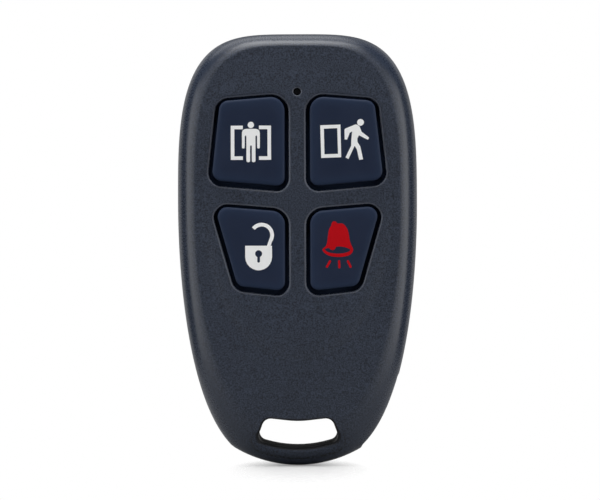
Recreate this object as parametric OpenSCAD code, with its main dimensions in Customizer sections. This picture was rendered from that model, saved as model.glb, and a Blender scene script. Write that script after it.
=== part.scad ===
// Alarm key fob with four push keys, a status light and a loop for a key ring.
// It stands upright: X is its width, Z its height, and the keys face -Y.

/* [Case] */
// Height from the tip of the loop to the light end
body_h = 64.5; // [63:0.5:70]
// Width at the widest place
body_w = 35.8; // [35:0.2:41]
// Height of the widest place above the tip
wide_z = 39.4; // [38.4:0.2:40.6]
// Radius of the round tip below the ring slot
tip_r = 18.5; // [16:0.5:24]
// Side wall of both shells
shell_wall = 1.6; // [1.4:0.1:2]
// Wall of the rear shell behind the cell
rear_wall = 1.4; // [1:0.1:2.2]
// Wall of the front shell between the keys
front_wall = 2; // [1.7:0.1:2.6]
// Width of the rolled rim beside the keys
rim_w = 2.7; // [2.2:0.1:3.2]
// Rise of the face from its edge to its middle
face_dome = 0.35; // [0.1:0.05:0.5]
// Fall of the front towards the light end
top_fall = 0.5; // [0.2:0.1:0.7]
// Fall of the front towards the loop
loop_fall = 1.6; // [0.8:0.1:1.8]
// Depth of the shallow dish round the keys
dish_depth = 0.22; // [0:0.02:0.3]
// Bevel of both shells along the parting line
part_bevel = 0.22; // [0.1:0.02:0.3]
// Height of the lip that joins the shells
lip_h = 1.2; // [0.8:0.1:1.6]
// Thickness of the lip and of the snap tabs
lip_t = 0.7; // [0.6:0.1:0.9]
// Clearance between the lip and the front shell
lip_gap = 0.12; // [0.08:0.02:0.2]
// Width of each snap tab
snap_w = 4; // [3:0.5:5]
// Height of a snap tab above the lip
snap_h = 1.3; // [1:0.1:1.5]
// Depth of the snap hook
snap_hook = 0.25; // [0.15:0.05:0.3]
// Depth of the prying recess at its lower end
pry_depth = 0.35; // [0.25:0.05:0.6]
// Width of the bare label place on the back
label_w = 18; // [12:1:20]
// Height of the bare label place on the back
label_h = 24; // [16:1:28]
// Depth of the label place
label_depth = 0.2; // [0.1:0.05:0.3]

/* [Ring slot] */
// Half width of the slot along its top edge
slot_top_w = 4.95; // [4.35:0.1:5.15]
// Half width of the slot along its lower edge
slot_low_w = 6.27; // [5.92:0.05:6.62]
// Height of the upper corners
slot_top_z = 7.3; // [7.1:0.05:7.5]
// Height of the middle of the upper edge
slot_mid_z = 6.75; // [6.65:0.05:7]
// Height of the lower corners
slot_low_z = 3.78; // [3.63:0.05:3.93]
// Height of the middle of the lower edge
slot_bar_z = 2.02; // [1.87:0.05:2.12]
// Wall between the slot and the inside of the case
loop_wall = 1.65; // [1.35:0.1:2.15]

/* [Keys] */
// Middle of the four keys below the light end
key_drop = 24.99; // [24.49:0.25:25.49]
// Inner edge of the key openings from the middle
key_side = 1.28; // [1.18:0.1:1.78]
// Gap between the two rows of openings at the middle
row_gap = 2.54; // [2.36:0.06:3.16]
// Height of the upper openings at their inner edge
up_h = 14.64; // [13.74:0.1:15.14]
// Width of the upper openings at the top
up_top_w = 10.64; // [9.84:0.1:11.24]
// Width of the upper openings at the bottom
up_low_w = 12.06; // [11.2:0.1:12.4]
// Fall of their top edge towards the outside
up_top_fall = 0.86; // [0.4:0.1:1.4]
// Rise of their bottom edge towards the outside
up_low_rise = 1.08; // [0.6:0.1:1.6]
// Height of the lower openings at their inner edge
lo_h = 12.9; // [12.4:0.1:13.6]
// Width of the lower openings at the top
lo_top_w = 11.8; // [11.2:0.1:12.2]
// Width of the lower openings at the bottom
lo_low_w = 8.07; // [7.27:0.1:8.47]
// Rise of their top edge towards the outside
lo_top_rise = 0.97; // [0.5:0.1:1.4]
// Rise of their bottom edge towards the outside
lo_low_rise = 0.88; // [0.4:0.1:1.4]
// Corner radius of the openings at the outside
corner_r = 2; // [1.7:0.1:2.4]
// Corner radius at the top of the inner edge
corner_top_r = 2.6; // [2:0.1:3]
// Corner radius at the bottom of the inner edge
corner_low_r = 1.8; // [1.7:0.1:2.2]
// Gap between a key cap and its opening
key_gap = 0.55; // [0.4:0.05:0.7]
// Height of a key cap above the face
key_proud = 0.4; // [0.2:0.05:0.8]
// Roundness of the edge of a key cap
key_edge = 0.5; // [0.3:0.05:0.6]
// Travel of a key
key_travel = 0.5; // [0.3:0.05:0.5]
// Reach of the key flange under the front shell
flange_reach = 0.5; // [0.4:0.05:0.55]
// Thickness of the key flange
flange_t = 0.8; // [0.6:0.1:1]
// Clearance between the flange and the front shell
flange_gap = 0.2; // [0.15:0.05:0.3]
// Radius of the stem under a key
stem_r = 1.7; // [1.4:0.1:2]
// Length of the stem under a key
stem_h = 0.7; // [0.6:0.1:1]

/* [Board] */
// Thickness of the circuit board
board_t = 1; // [0.8:0.1:1.6]
// Clearance of the board inside the lip
board_gap = 0.5; // [0.3:0.1:0.8]
// Width of a tact switch
switch_w = 6; // [5:0.1:6.4]
// Height of a tact switch without its plunger
switch_h = 1.4; // [1.2:0.1:2]
// Thickness of the steel cover of a tact switch
cover_t = 0.2; // [0.15:0.05:0.3]
// Radius of the plunger of a tact switch
plunger_r = 1.5; // [1.2:0.1:1.8]
// Height of the plunger above the switch
plunger_h = 0.7; // [0.6:0.05:0.9]
// Distance of the board posts from the outer side
post_in = 8.5; // [8:0.1:8.8]
// Distance of the upper hold-down studs below the light end
hold_drop = 5.3; // [5:0.1:5.8]
// Radius of the board posts in the rear shell
post_r = 1.6; // [1.4:0.1:1.8]
// Radius of the locating pins on those posts
pin_r = 0.8; // [0.6:0.05:0.9]
// Clearance of a pin in its board hole
pin_gap = 0.15; // [0.1:0.05:0.2]

/* [Cell] */
// Diameter of the coin cell
cell_d = 20; // [16:0.5:20]
// Thickness of the coin cell
cell_t = 3.2; // [2.5:0.1:3.2]
// Height of the middle of the cell below the widest place
cell_drop = 9.4; // [9:0.2:10]
// Gap between the cell clip and the rear wall
clip_gap = 0.4; // [0.3:0.1:0.8]
// Thickness of the clip and of the cell contact
strip_t = 0.3; // [0.2:0.05:0.4]
// Width of the clip
clip_w = 5; // [4:0.5:6]
// Reach of each soldered foot of the clip
foot_l = 2.2; // [1.8:0.1:2.4]
// Radius of the round cell contact
contact_r = 4.5; // [3:0.1:5]

/* [Light] */
// Height of the light hole above the middle of the keys
led_rise = 16.1; // [16:0.1:16.8]
// Diameter of the light hole
led_d = 1.15; // [0.9:0.05:1.3]
// Clearance of the light pipe in its hole
pipe_gap = 0.04; // [0.02:0.01:0.08]

/* [Chips] */
// Length of the control chip
chip_l = 6.5; // [5:0.1:7]
// Width of the control chip
chip_w = 4.4; // [3.9:0.1:4.6]
// Thickness of the control chip
chip_h = 1.2; // [0.9:0.1:1.4]
// Middle of the control chip above the lower end of the board space
chip_rise = 6.05; // [5.8:0.05:6.2]
// Length of a chip lead
lead_l = 1; // [0.8:0.05:1.1]
// Width of a chip lead
lead_w = 0.25; // [0.2:0.01:0.3]
// Thickness of a chip lead
lead_t = 0.12; // [0.1:0.01:0.15]
// Distance between two chip leads
lead_pitch = 0.65; // [0.6:0.01:0.7]
// Length of the crystal can
crystal_l = 5; // [3.2:0.1:5.4]
// Width of the crystal can
crystal_w = 3.2; // [2.5:0.1:3.4]
// Thickness of the crystal can
crystal_h = 1.2; // [0.8:0.1:1.4]
// Lower edge of the crystal can above the middle of the keys
crystal_rise = 14.2; // [13.9:0.1:14.6]
// Length of a chip capacitor or resistor
pellet_l = 1.6; // [1:0.1:1.8]
// Width of a chip capacitor or resistor
pellet_w = 0.8; // [0.5:0.05:0.9]
// Height of a chip capacitor
cap_h = 0.7; // [0.5:0.05:0.8]
// Height of a chip resistor
res_h = 0.45; // [0.35:0.05:0.5]
// Distance between two capacitors in their row
cap_pitch = 1.9; // [1.6:0.1:2]
// Distance between two resistors in their row
res_pitch = 1.5; // [1.2:0.1:1.6]
// Lower end of both rows above the middle of the keys
row_rise = 8; // [7.6:0.05:8.4]
// Width of the copper antenna loop
antenna_w = 1.2; // [0.8:0.1:1.4]
// Thickness of the copper antenna loop
antenna_t = 0.15; // [0.1:0.05:0.2]

/* [Hidden] */
ring_n = 96;
arc_n = 7;
half_w = body_w / 2;
up_b = body_h - wide_z;
clip_z0 = rear_wall + clip_gap;
cell_z0 = clip_z0 + strip_t;
cell_z1 = cell_z0 + cell_t;
board_z0 = cell_z1 + strip_t;
board_z1 = board_z0 + board_t;
switch_z1 = board_z1 + switch_h;
plunger_z1 = switch_z1 + plunger_h;
flange_z0 = plunger_z1 + stem_h;
flange_z1 = flange_z0 + flange_t;
inner_z = flange_z1 + flange_gap;
face_z = inner_z + front_wall;
key_z = face_z + key_proud;
part_z = board_z0 + board_t / 2;
cav_a = half_w - shell_wall;
cav_up = up_b - shell_wall - 0.1;
low_y = slot_top_z + loop_wall;
cav_low = wide_z - low_y;
row_z = body_h - key_drop;
cell_y = wide_z - cell_drop;
led_y = row_z + led_rise;
post_up_y = row_z + 13.15;
post_low_y = low_y + 8.05;
post_x = half_w - post_in;
hold_up_y = body_h - hold_drop;
hold_low_y = low_y + 5;
hold_up_x = 6;
hold_low_x = 5.4;
snap_up = up_b * 0.33;
snap_low = 7;
key_shift = 0.12;
led_h = 0.6;

// Shapes of the outline
function ring_angle(i) = -90 + 360 * i / ring_n;
function pow_sign(v, e) = sign(v) * pow(abs(v), e);
function egg(a, up, low, pu, qu, pl, ql, t) = sin(t) >= 0
    ? [a * pow_sign(cos(t), 2 / pu), up * pow_sign(sin(t), 2 / qu)]
    : [a * pow_sign(cos(t), 2 / pl), low * pow_sign(sin(t), 2 / ql)];
function tip_y(x, d) = tip_r - sqrt(max(pow(tip_r - d, 2) - x * x, 0));
function body_pt(d, t) = let (e = egg(half_w - d, up_b - d, wide_z - d, 3.9, 3.15, 3.3, 2, t))
    [e[0], abs(e[0]) < (tip_r - d) && sin(t) < 0 ? max(wide_z + e[1], tip_y(e[0], d)) : wide_z + e[1]];
function face_pt(t) = let (e = egg(half_w - rim_w, up_b - 2.1, wide_z - 4.9, 3.7, 3, 2.4, 2.2, t))
    [e[0], wide_z + e[1]];
function dish_pt(d, t) = let (e = egg(half_w - rim_w - 1.3 - d, up_b - 4 - d, 23.4 - d, 4, 3, 2.2, 2.2, t))
    [e[0], wide_z + e[1]];
function cav_pt(d, t) = let (e = egg(cav_a - d, cav_up - d, cav_low - d, 4, 3, 2.8, 2.6, t))
    [e[0], wide_z + e[1]];
function cav_x(d, dy) = dy >= 0
    ? (cav_a - d) * pow(1 - pow(dy / (cav_up - d), 3), 1 / 4)
    : (cav_a - d) * pow(1 - pow(-dy / (cav_low - d), 2.6), 1 / 2.8);
function mix2(p, q, s) = [p[0] + (q[0] - p[0]) * s, p[1] + (q[1] - p[1]) * s];

// Height of the front along the middle of the fob
function crest(y) = face_z - (y > wide_z
    ? top_fall * pow((y - wide_z) / up_b, 2)
    : loop_fall * pow((wide_z - y) / wide_z, 2));
function rim_pt(s, f, t) = let (p = mix2(body_pt(0, t), face_pt(t), s), h = crest(p[1]) - face_dome)
    [p[0], p[1], part_z + f * (h - part_z)];
function dish_low(t) = dish_depth * pow(max(-sin(t), 0), 0.7);
function face3(p, s, drop) = [p[0], p[1], crest(p[1]) - face_dome * s * s - drop];
function flat3(p, z) = [p[0], p[1], z];

// Lofts one closed solid through rings of equal length
module loft(rings, turned) {
    n = len(rings[0]);
    m = len(rings);
    first = [for (k = [0:2]) [for (p = rings[0]) p[k]] * [for (p = rings[0]) 1] / n];
    last = [for (k = [0:2]) [for (p = rings[m - 1]) p[k]] * [for (p = rings[0]) 1] / n];
    pts = concat([for (r = rings) each r], [first, last]);
    side = [for (j = [0:m - 2]) for (i = [0:n - 1]) let (a = j * n + i, b = j * n + (i + 1) % n)
        each [[a, b, b + n], [a, b + n, a + n]]];
    cap0 = [for (i = [0:n - 1]) [(i + 1) % n, i, m * n]];
    cap1 = [for (i = [0:n - 1]) [(m - 1) * n + i, (m - 1) * n + (i + 1) % n, m * n + 1]];
    all = concat(side, cap0, cap1);
    polyhedron(pts, turned ? [for (f = all) [f[2], f[1], f[0]]] : all);
}

// Stands the flat model upright with its depth centred
module upright() {
    rotate([90, 0, 0]) translate([0, 0, -key_z / 2]) children();
}

// Rounded corners
function unit(v) = v / norm(v);
function swing(a, b) = b - a > 180 ? b - a - 360 : b - a < -180 ? b - a + 360 : b - a;
function corner(p, c, n, r, d) = let (u = unit(p - c), v = unit(n - c), h = acos(u * v) / 2,
    o = c + unit(u + v) * r / sin(h), e0 = c + u * r / tan(h) - o, e1 = c + v * r / tan(h) - o,
    a0 = atan2(e0[1], e0[0]), w = swing(a0, atan2(e1[1], e1[0])))
    [for (k = [0:arc_n]) o + (r - d) * [cos(a0 + w * k / arc_n), sin(a0 + w * k / arc_n)]];
function rounded(q, r, d) = [for (i = [0:len(q) - 1])
    each corner(q[(i + len(q) - 1) % len(q)], q[i], q[(i + 1) % len(q)], r[i], d)];

// Openings of the left keys, from the lower outer corner on
up_quad = [[-key_side - up_low_w, row_z + row_gap / 2 + up_low_rise], [-key_side, row_z + row_gap / 2],
    [-key_side, row_z + row_gap / 2 + up_h],
    [-key_side - up_top_w, row_z + row_gap / 2 + up_h - up_top_fall]];
lo_quad = [[-key_side - lo_low_w, row_z - row_gap / 2 - lo_h + lo_low_rise],
    [-key_side, row_z - row_gap / 2 - lo_h],
    [-key_side, row_z - row_gap / 2], [-key_side - lo_top_w, row_z - row_gap / 2 + lo_top_rise]];
quad_r = [corner_r, corner_low_r, corner_top_r, corner_r];
up_mid = [-key_side - up_low_w / 2, row_z + row_gap / 2 + up_h / 2];
lo_mid = [-key_side - lo_top_w / 2 + 1, row_z - row_gap / 2 - lo_h / 2];
slot_quad = [[-slot_low_w, slot_low_z], [0, slot_bar_z], [slot_low_w, slot_low_z], [slot_top_w, slot_top_z],
    [0, slot_mid_z], [-slot_top_w, slot_top_z]];
slot_r = [1.2, 17, 1.2, 1.3, 14, 1.3];

module key_windows() {
    for (s = [0, 1]) mirror([s, 0, 0]) {
        linear_extrude(key_z + 2) polygon(rounded(up_quad, quad_r, 0));
        linear_extrude(key_z + 2) polygon(rounded(lo_quad, quad_r, 0));
    }
}

module ring_slot() {
    translate([0, 0, -1]) linear_extrude(key_z + 3) polygon(rounded(slot_quad, slot_r, 0));
}

// Recess on the right lower edge for prying the shells apart
function pry_in(k) = pry_depth * (1 - 0.5 * k);
module pry_recess(z0, z1) {
    inside = [for (k = [0:12]) body_pt(pry_in(k / 12), -68.1 + 26.3 * k / 12)];
    outside = [for (k = [12:-1:0]) body_pt(-2, -70 + 29.3 * k / 12)];
    translate([0, 0, z0]) linear_extrude(z1 - z0)
        polygon(concat([body_pt(0, -70)], inside, [body_pt(0, -40.7)], outside));
}

// Places of the snap tabs along the side walls
function tab_x(dy) = min(cav_x(lip_gap, dy - snap_w / 2), cav_x(lip_gap, dy + snap_w / 2));
tab_z1 = part_z + lip_h + snap_h;
hook_h = 0.6;

module snap_pockets() {
    for (s = [0, 1]) mirror([s, 0, 0]) for (dy = [snap_up, -snap_low])
        translate([tab_x(dy) - 0.3, wide_z + dy - snap_w / 2 - 0.3, tab_z1 - hook_h - 0.15])
            cube([0.5 + lip_gap + snap_hook, snap_w + 0.6, hook_h + 0.35]);
}

module snap_tabs() {
    for (s = [0, 1]) mirror([s, 0, 0]) for (dy = [snap_up, -snap_low])
        translate([tab_x(dy), wide_z + dy, 0]) {
        translate([-lip_t, -snap_w / 2, part_z]) cube([lip_t, snap_w, tab_z1 - part_z]);
        translate([-0.1, -snap_w / 2, tab_z1 - hook_h]) cube([0.1 + lip_gap + snap_hook, snap_w, hook_h]);
    }
}

// The outer half of the case with the keys' windows
module front_shell() {
    rim = [[part_bevel / rim_w, 0], [0, 0.045], [0.012, 0.185], [0.045, 0.314], [0.1, 0.44], [0.18, 0.564],
        [0.28, 0.676], [0.4, 0.775], [0.55, 0.864], [0.7, 0.928], [0.85, 0.972], [1, 1]];
    rings = concat(
        [[for (i = [0:ring_n - 1]) flat3(cav_pt(0, ring_angle(i)), inner_z)]],
        [[for (i = [0:ring_n - 1]) flat3(cav_pt(0, ring_angle(i)), part_z)]],
        [for (k = rim) [for (i = [0:ring_n - 1]) rim_pt(k[0], k[1], ring_angle(i))]],
        [[for (i = [0:ring_n - 1]) face3(dish_pt(-0.5, ring_angle(i)), 0.94, 0)]],
        [[for (i = [0:ring_n - 1]) face3(dish_pt(0.5, ring_angle(i)), 0.86, dish_low(ring_angle(i)))]],
        [for (k = [0.7, 0.4]) [for (i = [0:ring_n - 1])
            face3(mix2([0, wide_z], dish_pt(0.5, ring_angle(i)), k), k, dish_low(ring_angle(i)) * k)]]);
    color([0.2, 0.21, 0.25]) upright() difference() {
        union() {
            loft(rings, true);
            for (s = [-1, 1]) {
                translate([s * hold_up_x, hold_up_y, board_z1])
                    cylinder(r = 0.9, h = inner_z - board_z1 + 0.5, $fn = 32);
                translate([s * hold_low_x, hold_low_y, board_z1])
                    cylinder(r = 1, h = inner_z - board_z1 + 0.5, $fn = 32);
            }
        }
        key_windows();
        ring_slot();
        translate([0, led_y, inner_z - 1]) cylinder(d = led_d, h = front_wall + 3, $fn = 32);
        pry_recess(part_z - 1, part_z + 2.4);
        snap_pockets();
    }
}

// The back half of the case with the board posts and the lip
module rear_shell() {
    back = [[part_bevel, 1], [0, 0.96], [0.1, 0.6], [0.38, 0.37], [0.85, 0.2], [1.6, 0.085], [2.5, 0.02],
        [3.3, 0]];
    rings = concat(
        [[for (i = [0:ring_n - 1]) flat3(cav_pt(0, ring_angle(i)), rear_wall)]],
        [[for (i = [0:ring_n - 1]) flat3(cav_pt(0, ring_angle(i)), part_z)]],
        [for (k = back) [for (i = [0:ring_n - 1]) flat3(body_pt(k[0], ring_angle(i)), part_z * k[1])]]);
    color([0.19, 0.2, 0.24]) upright() difference() {
        union() {
            loft(rings, false);
            difference() {
                translate([0, 0, part_z - 1]) linear_extrude(1 + lip_h)
                    polygon([for (i = [0:ring_n - 1]) cav_pt(lip_gap, ring_angle(i))]);
                translate([0, 0, part_z - 2]) linear_extrude(3 + lip_h)
                    polygon([for (i = [0:ring_n - 1]) cav_pt(lip_gap + lip_t, ring_angle(i))]);
            }
            difference() {
                translate([0, 0, part_z - 1.4]) linear_extrude(1.2)
                    polygon([for (i = [0:ring_n - 1]) cav_pt(-0.2, ring_angle(i))]);
                translate([0, 0, part_z - 2]) linear_extrude(3)
                    polygon([for (i = [0:ring_n - 1]) cav_pt(lip_gap + lip_t, ring_angle(i))]);
            }
            snap_tabs();
            for (s = [-1, 1]) for (y = [post_up_y, post_low_y]) translate([s * post_x, y, 0]) {
                translate([0, 0, rear_wall - 0.5])
                    cylinder(r = post_r, h = board_z0 - rear_wall + 0.5, $fn = 40);
                translate([0, 0, rear_wall - 0.5])
                    cylinder(r = pin_r, h = board_z1 + 0.4 - rear_wall + 0.5, $fn = 32);
            }
            difference() {
                translate([0, cell_y, rear_wall - 0.5]) cylinder(d = cell_d + 2.6, h = 3.4, $fn = 96);
                translate([0, cell_y, rear_wall - 1]) cylinder(d = cell_d + 0.8, h = 5, $fn = 96);
                translate([-cell_d, cell_y - clip_w / 2 - 0.6, rear_wall])
                    cube([cell_d * 2, clip_w + 1.2, 5]);
            }
        }
        ring_slot();
        pry_recess(-1, part_z + 1);
        translate([0, wide_z, -1]) linear_extrude(1 + label_depth)
            polygon(rounded([[-label_w / 2, -label_h / 2], [label_w / 2, -label_h / 2],
                [label_w / 2, label_h / 2], [-label_w / 2, label_h / 2]], [2, 2, 2, 2], 0));
    }
}

// A key cap with its flange and stem, drawn for the left side
module key_cap(quad, mid) {
    d = key_gap;
    edge = [[0, 0], [0.04, 0.45], [0.16, 0.72], [0.4, 0.9], [0.75, 0.985], [1, 1]];
    top = key_z - 0.12;
    up = [0, key_shift];
    rings = concat(
        [[for (p = rounded(quad, quad_r, d)) flat3(p + up, flange_z0 + 0.2)]],
        [for (k = edge) [for (p = rounded(quad, quad_r, d + key_edge * k[0]))
            flat3(p + up, top - key_edge * (1 - k[1]))]],
        [for (k = [0.7, 0.35]) [for (p = rounded(quad, quad_r, d + key_edge))
            flat3(mix2(mid, p + up, k), top + 0.12 * (1 - k * k))]]);
    difference() {
        union() {
            loft(rings, true);
            translate([0, 0, flange_z0]) linear_extrude(flange_t)
                polygon(rounded(quad, quad_r, -flange_reach));
            translate([mid[0], mid[1], plunger_z1])
                cylinder(r = stem_r, h = flange_z0 - plunger_z1 + 0.2, $fn = 40);
        }
    }
}

module stay_key() {
    color([0.13, 0.16, 0.24]) upright() key_cap(up_quad, up_mid);
}

module away_key() {
    color([0.13, 0.16, 0.24]) upright() mirror([1, 0, 0]) key_cap(up_quad, up_mid);
}

module disarm_key() {
    color([0.13, 0.16, 0.24]) upright() key_cap(lo_quad, lo_mid);
}

module panic_key() {
    color([0.13, 0.16, 0.24]) upright() mirror([1, 0, 0]) key_cap(lo_quad, lo_mid);
}

// Clear rod that carries the light to the front
module light_pipe() {
    rod = led_d / 2 - pipe_gap;
    low = board_z1 + led_h + 0.2;
    color([0.75, 0.78, 0.8]) upright() translate([0, led_y, 0]) {
        translate([0, 0, low]) cylinder(r = 0.75, h = inner_z - low - 0.3, $fn = 32);
        translate([0, 0, inner_z - 0.6]) cylinder(r = 1, h = 0.6, $fn = 32);
        translate([0, 0, inner_z - 0.1]) cylinder(r = rod, h = front_wall - top_fall - 0.35, $fn = 32);
    }
}

// Board with its pin holes
module circuit_board() {
    inset = lip_gap + lip_t + board_gap;
    color([0.1, 0.32, 0.18]) upright() difference() {
        translate([0, 0, board_z0]) linear_extrude(board_t)
            polygon([for (i = [0:ring_n - 1]) cav_pt(inset, ring_angle(i))]);
        for (s = [-1, 1]) for (y = [post_up_y, post_low_y])
            translate([s * post_x, y, board_z0 - 1]) cylinder(r = pin_r + pin_gap, h = board_t + 2, $fn = 32);
    }
}

// Tact switches under the keys
module switch_base(mid) {
    translate([mid[0] - switch_w / 2, mid[1] - switch_w / 2, board_z1]) difference() {
        union() {
            cube([switch_w, switch_w, switch_h - cover_t]);
            for (x = [-0.9, switch_w - 0.1]) for (y = [0.75, switch_w - 1.75])
                translate([x, y, 0]) cube([1, 1, 0.3]);
        }
        translate([switch_w / 2, switch_w / 2, 0.5]) cylinder(r = plunger_r + 0.3, h = switch_h, $fn = 40);
    }
}

module stay_switch() {
    color([0.12, 0.12, 0.13]) upright() switch_base(up_mid);
}

module away_switch() {
    color([0.12, 0.12, 0.13]) upright() switch_base([-up_mid[0], up_mid[1]]);
}

module disarm_switch() {
    color([0.12, 0.12, 0.13]) upright() switch_base(lo_mid);
}

module panic_switch() {
    color([0.12, 0.12, 0.13]) upright() switch_base([-lo_mid[0], lo_mid[1]]);
}

module switch_covers() {
    color([0.7, 0.7, 0.72]) upright() for (s = [-1, 1]) for (m = [up_mid, lo_mid])
        translate([s * m[0], m[1], switch_z1 - cover_t]) difference() {
            translate([-switch_w / 2, -switch_w / 2, 0]) cube([switch_w, switch_w, cover_t]);
            translate([0, 0, -1]) cylinder(r = plunger_r + 0.3, h = 3, $fn = 40);
        }
}

module plunger(mid) {
    low = board_z1 + 0.5 + key_travel + 0.1;
    translate([mid[0], mid[1], low]) cylinder(r = plunger_r, h = plunger_z1 - low, $fn = 40);
}

module stay_plunger() {
    color([0.85, 0.84, 0.8]) upright() plunger(up_mid);
}

module away_plunger() {
    color([0.85, 0.84, 0.8]) upright() plunger([-up_mid[0], up_mid[1]]);
}

module disarm_plunger() {
    color([0.85, 0.84, 0.8]) upright() plunger(lo_mid);
}

module panic_plunger() {
    color([0.85, 0.84, 0.8]) upright() plunger([-lo_mid[0], lo_mid[1]]);
}

// Light on the board under the pipe
module status_led() {
    color([0.9, 0.88, 0.7]) upright() translate([-0.8, led_y - 0.4, board_z1]) cube([1.6, 0.8, led_h]);
}

// Coin cell with its stepped lower cap
module coin_cell() {
    r = cell_d / 2;
    color([0.75, 0.76, 0.78]) upright() translate([0, cell_y, cell_z0]) rotate_extrude($fn = 96)
        polygon([[0, 0], [r - 0.4, 0], [r, 0.4], [r, cell_t - 0.5], [r - 0.6, cell_t - 0.2],
            [r - 1.6, cell_t - 0.2], [r - 1.8, cell_t], [0, cell_t]]);
}

// Spring clip over the cell with two soldered feet
module cell_clip() {
    x = cell_d / 2 + 0.05;
    y = cell_y - clip_w / 2;
    color([0.78, 0.77, 0.72]) upright() {
        translate([-x - strip_t, y, clip_z0]) cube([2 * (x + strip_t), clip_w, strip_t]);
        for (s = [0, 1]) mirror([s, 0, 0]) {
            translate([x, y, clip_z0]) cube([strip_t, clip_w, board_z0 - clip_z0]);
            translate([x, y, board_z0 - strip_t]) cube([foot_l, clip_w, strip_t]);
        }
    }
}

module cell_contact() {
    color([0.8, 0.72, 0.45]) upright() translate([0, cell_y, cell_z1])
        cylinder(r = contact_r, h = strip_t, $fn = 64);
}

// Parts on the back of the board
chip_y = low_y + chip_rise;
pellets_y = row_z + row_rise;

module control_chip() {
    color([0.08, 0.08, 0.09]) upright()
        translate([-chip_l / 2, chip_y - chip_w / 2, board_z0 - lead_t - chip_h])
            cube([chip_l, chip_w, chip_h]);
}

module chip_leads() {
    color([0.78, 0.78, 0.8]) upright() for (s = [0, 1]) translate([0, chip_y, 0]) mirror([0, s, 0])
        for (k = [0:7]) translate([lead_pitch * (k - 3.5) - lead_w / 2, chip_w / 2, board_z0]) {
            translate([0, 0, -lead_t]) cube([lead_w, lead_l, lead_t]);
            translate([0, 0, -chip_h / 2]) cube([lead_w, lead_l * 0.15, chip_h / 2]);
        }
}

module crystal_can() {
    color([0.8, 0.8, 0.82]) upright() translate([-crystal_l / 2, row_z + crystal_rise, board_z0 - crystal_h])
        cube([crystal_l, crystal_w, crystal_h]);
}

module chip_capacitors() {
    color([0.68, 0.55, 0.4]) upright() {
        for (k = [0:3]) translate([cap_pitch * (k - 3) - pellet_w, pellets_y, board_z0 - cap_h])
            cube([pellet_w, pellet_l, cap_h]);
        for (s = [-1, 1])
            translate([s * (chip_l / 2 + 2.75) - pellet_w / 2, chip_y - pellet_l / 2, board_z0 - cap_h])
                cube([pellet_w, pellet_l, cap_h]);
    }
}

module chip_resistors() {
    color([0.1, 0.1, 0.11]) upright() {
        for (k = [0:3]) translate([res_pitch * (k + 1.2), pellets_y, board_z0 - res_h])
            cube([pellet_w, pellet_l, res_h]);
        translate([pellet_w * 2.75, led_y - pellet_l / 2, board_z1]) cube([pellet_w, pellet_l, res_h]);
    }
}

// Copper loop along the upper edge of the board
module loop_antenna() {
    inset = lip_gap + lip_t + board_gap + 0.5;
    span = [for (i = [0:40]) 20 + 140 * i / 40];
    color([0.72, 0.45, 0.25]) upright() translate([0, 0, board_z0 - antenna_t]) linear_extrude(antenna_t)
        polygon(concat([for (t = span) cav_pt(inset, t)],
            [for (i = [40:-1:0]) cav_pt(inset + antenna_w, span[i])]));
}

front_shell();
rear_shell();
stay_key();
away_key();
disarm_key();
panic_key();
light_pipe();
circuit_board();
stay_switch();
away_switch();
disarm_switch();
panic_switch();
switch_covers();
stay_plunger();
away_plunger();
disarm_plunger();
panic_plunger();
status_led();
coin_cell();
cell_clip();
cell_contact();
control_chip();
chip_leads();
crystal_can();
chip_capacitors();
chip_resistors();
loop_antenna();
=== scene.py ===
# %% [markdown]
# # An alarm key fob
# The fob is a small remote control that hangs on a key ring. Its case is two moulded shells that
# snap together along a parting line, four satin keys look out of windows in the front shell, and a
# tiny light hole sits above them. This lesson loads the CAD model as a fixed frame, rebuilds the
# shells and keys with rounder surfaces of the same size, prints the pictograms on the keys and gives
# every piece its finish.

# %% Load the fixed frame
import math

import bmesh
import bpy
import numpy as np
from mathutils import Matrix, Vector


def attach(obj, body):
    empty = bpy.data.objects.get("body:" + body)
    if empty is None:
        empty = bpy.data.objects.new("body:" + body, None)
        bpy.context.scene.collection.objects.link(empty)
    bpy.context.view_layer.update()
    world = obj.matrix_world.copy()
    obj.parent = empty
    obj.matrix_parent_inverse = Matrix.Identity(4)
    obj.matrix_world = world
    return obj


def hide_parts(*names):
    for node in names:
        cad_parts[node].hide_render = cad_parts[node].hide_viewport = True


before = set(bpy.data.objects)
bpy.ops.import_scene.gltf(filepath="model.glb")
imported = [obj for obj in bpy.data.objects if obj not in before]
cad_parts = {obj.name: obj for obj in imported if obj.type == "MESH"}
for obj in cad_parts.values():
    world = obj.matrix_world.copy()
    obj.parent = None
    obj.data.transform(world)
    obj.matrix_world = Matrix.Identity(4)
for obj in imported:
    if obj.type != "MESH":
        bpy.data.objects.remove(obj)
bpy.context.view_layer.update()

bpy.context.scene.view_settings.view_transform = "Standard"

# %% [markdown]
# ## Sizes
# A moulded fob is drawn flat: x across, y up from the tip of the loop, and depth measured from the
# back face. The CAD source uses the same drawing, so its main sizes are repeated here, in
# millimetres. The pieces are modelled in millimetres too, because Blender's edit tools weld and
# compare at a tenth of a millimetre, and each piece is scaled to metres when it is finished. FLAT_Z
# is a level clear of the fob, on which faces are filled before they settle on their height.

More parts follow.
